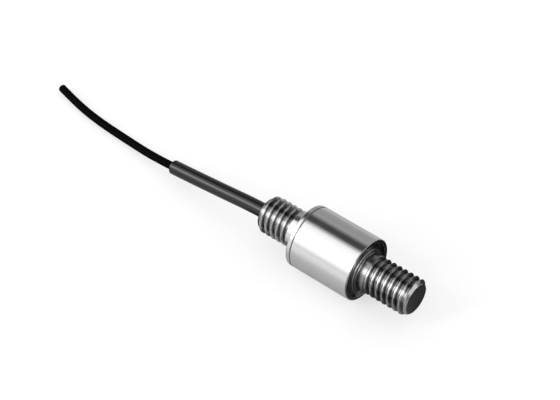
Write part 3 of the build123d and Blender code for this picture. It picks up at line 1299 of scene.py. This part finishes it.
@dataclass
class Bridge:
    """The gauges, board, wiring and sealing inside the cell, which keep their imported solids."""

    axis_height: float

    def finishes(self) -> dict[str, Finish]:
        """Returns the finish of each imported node."""
        axis = self.axis_height
        film = GaugeFilm(
            "film_and_foil",
            (0.62, 0.3, 0.06),
            0.35,
            other_colour=(0.72, 0.68, 0.6),
            axis_height=axis,
            border=1.385 * MM,
        )
        board = TwoTone(
            "green_laminate",
            (0.03, 0.2, 0.07),
            0.4,
            other_colour=(0.75, 0.5, 0.2),
            axis_height=axis,
            border=3.95 * MM,
        )
        chip = ResistorChip("capped_chip", (0.02, 0.02, 0.022), 0.35, axis_height=axis, border=0.21 * MM)
        solder = SoftMetal("soft_solder", (0.76, 0.76, 0.78), 0.25, 1.0, tarnish=(0.5, 0.5, 0.52))
        copper = SoftMetal("copper_ribbon", COPPER, 0.3, 1.0, tarnish=(0.45, 0.2, 0.12))
        brass = SoftMetal("crimped_brass", (0.78, 0.6, 0.3), 0.32, 1.0, tarnish=(0.5, 0.36, 0.16))
        resin = ExtrudedPlastic("amber_resin", (0.46, 0.36, 0.2), 0.3, wave_size=0.001, fade=0.045)
        braid = WovenBraid("tinned_braid", (0.7, 0.68, 0.65), 0.35, 1.0, axis_height=axis)
        chosen: dict[str, Finish] = {
            "terminal_board": board,
            "solder_joints": solder,
            "trim_resistors": chip,
            "shield_braid": braid,
            "cable_ferrule": brass,
            "potting_plug": resin,
        }
        for name, colour in (("red", RED), ("white", WHITE), ("black", BLACK), ("green", GREEN)):
            chosen[f"core_{name}"] = TwoTone(
                f"{name}_insulation",
                colour,
                0.35,
                other_colour=(0.75, 0.74, 0.72),
                axis_height=axis,
                border=3.2 * MM,
            )
        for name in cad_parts:
            if name.startswith("gauge_leads"):
                chosen[name] = copper
            elif name.startswith("gauge"):
                chosen[name] = film
        return chosen

    def build(self) -> list[bpy.types.Object]:
        """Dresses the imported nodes.

        Returns:
            Their objects.
        """
        dressed = []
        for name, finish in self.finishes().items():
            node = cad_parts[name]
            node.data.materials.clear()
            node.data.materials.append(finish.material())
            dressed.append(node)
        return dressed


@dataclass
class Studio:
    """A pale floor, soft light and the photograph's camera."""

    camera_place: Triple = (0.107221, -0.144054, 0.194258)
    camera_tilt: float = 45.217
    camera_heading: float = 39.463
    lens: float = 115.0
    sensor_width: float = 36.0
    near_clip: float = 0.01
    floor_size: float = 4.0
    floor_level: float = 0.93
    floor_roughness: float = 0.9
    key_distance: float = 0.5
    key_direction: Triple = (-0.41, -0.73, 0.55)
    key_size: Pair = (0.3, 0.12)
    key_power: float = 0.8
    sky_level: float = 1.0
    shade_edge: Pair = (0.1, 0.7)
    shade_level: float = 0.2
    strip_edges: tuple[Pair, ...] = ((0.26, 0.34), (0.54, 0.46))
    strip_level: float = 0.75
    sky_angles: tuple[int, ...] = (0, 27, 45, 55, 62, 78, 86, 95, 118, 130, 148, 158, 170, 180)
    sky_levels: tuple[float, ...] = (
        0.38, 0.33, 0.37, 0.15, 0.05, 0.06, 0.5, 1.1, 1.3, 4.2, 4.2, 1.4, 0.95, 0.75,
    )

    def camera(self) -> None:
        """Sets the photograph's camera."""
        data = bpy.data.cameras.new("camera")
        data.lens = self.lens
        data.sensor_width = self.sensor_width
        data.clip_start = self.near_clip
        made = linked("camera", data)
        made.location = self.camera_place
        made.rotation_euler = (math.radians(self.camera_tilt), 0, math.radians(self.camera_heading))
        bpy.context.scene.camera = made

    def floor(self) -> None:
        """Lays the floor."""
        mesh = bmesh.new()
        bmesh.ops.create_grid(mesh, x_segments=1, y_segments=1, size=self.floor_size / 2)
        data = bpy.data.meshes.new("floor")
        mesh.to_mesh(data)
        mesh.free()
        data.materials.append(StudioFloor("floor", grey(self.floor_level), self.floor_roughness).material())
        made = linked("floor", data)

    def key_light(self) -> None:
        """Hangs one soft lamp."""
        data = bpy.data.lights.new("key", "AREA")
        data.shape = "RECTANGLE"
        data.size, data.size_y = self.key_size
        data.energy = self.key_power
        made = linked("key", data)
        direction = Vector(self.key_direction).normalized()
        made.location = direction * self.key_distance
        made.rotation_euler = direction.to_track_quat("Z", "X").to_euler()
        made.visible_glossy = False

    def sky(self) -> None:
        """Surrounds the object with panels that run along X, as in a light tent."""
        world = bpy.data.worlds.new("tent")
        world.use_nodes = True
        bpy.context.scene.world = world
        desk = NodeDesk(world.node_tree)
        background = world.node_tree.nodes["Background"]
        x, y, z = desk.parts(desk.node("ShaderNodeTexCoord").outputs["Generated"])
        share = desk.math("DIVIDE", desk.math("ARCTAN2", z, y), math.pi, clamp=True)
        ramp = desk.node("ShaderNodeValToRGB", share)
        stops = ramp.color_ramp.elements
        top = max(self.sky_levels)
        for angle in self.sky_angles[1:-1]:
            stops.new(angle / 180)
        for stop, level in zip(stops, self.sky_levels):
            stop.color = (*grey(level / top), 1)
        strip = desk.times(*(desk.step(z, *edge) for edge in self.strip_edges))
        end_wall = desk.tint(strip, grey(self.shade_level / top), grey(self.strip_level / top))
        panels = desk.tint(desk.step(x, *self.shade_edge), ramp.outputs["Color"], end_wall)
        mirrored = desk.node("ShaderNodeLightPath").outputs["Is Glossy Ray"]
        desk.feed(background.inputs["Color"], desk.tint(mirrored, grey(self.sky_level / top), panels))
        background.inputs["Strength"].default_value = top

    def build(self) -> None:
        """Sets up camera, floor and light."""
        self.camera()
        self.floor()
        self.key_light()
        self.sky()
        bpy.context.scene.view_settings.view_transform = "Standard"


def main() -> None:
    """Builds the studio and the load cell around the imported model."""
    logging.basicConfig(level=logging.INFO, format="%(name)s: %(message)s")
    Studio().build()
    metal_low, metal_high = (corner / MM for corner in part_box("spring_element"))
    sleeve_low, sleeve_high = (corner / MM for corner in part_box("cover_sleeve"))
    board_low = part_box("terminal_board")[0] / MM
    axis_height = (sleeve_low.z + sleeve_high.z) / 2 * MM
    flange_rim_width = 0.8
    pieces = CableRun(exit=(metal_low.x * MM, 0, axis_height)).build()
    spring = SpringElement(
        axis_height=axis_height,
        x_rear=metal_low.x,
        x_front=metal_high.x,
        x_flange=sleeve_low.x - flange_rim_width,
        x_joint=sleeve_low.x,
        x_cavity=board_low.x,
        x_rim=sleeve_high.x,
    )
    pieces.append(spring.build())
    pieces += Housing(axis_height=axis_height, x_joint=sleeve_low.x, x_rim=sleeve_high.x).build()
    pieces += Bridge(axis_height=axis_height).build()
    for piece in pieces:
        report(piece)


if __name__ == "__main__":
    main()
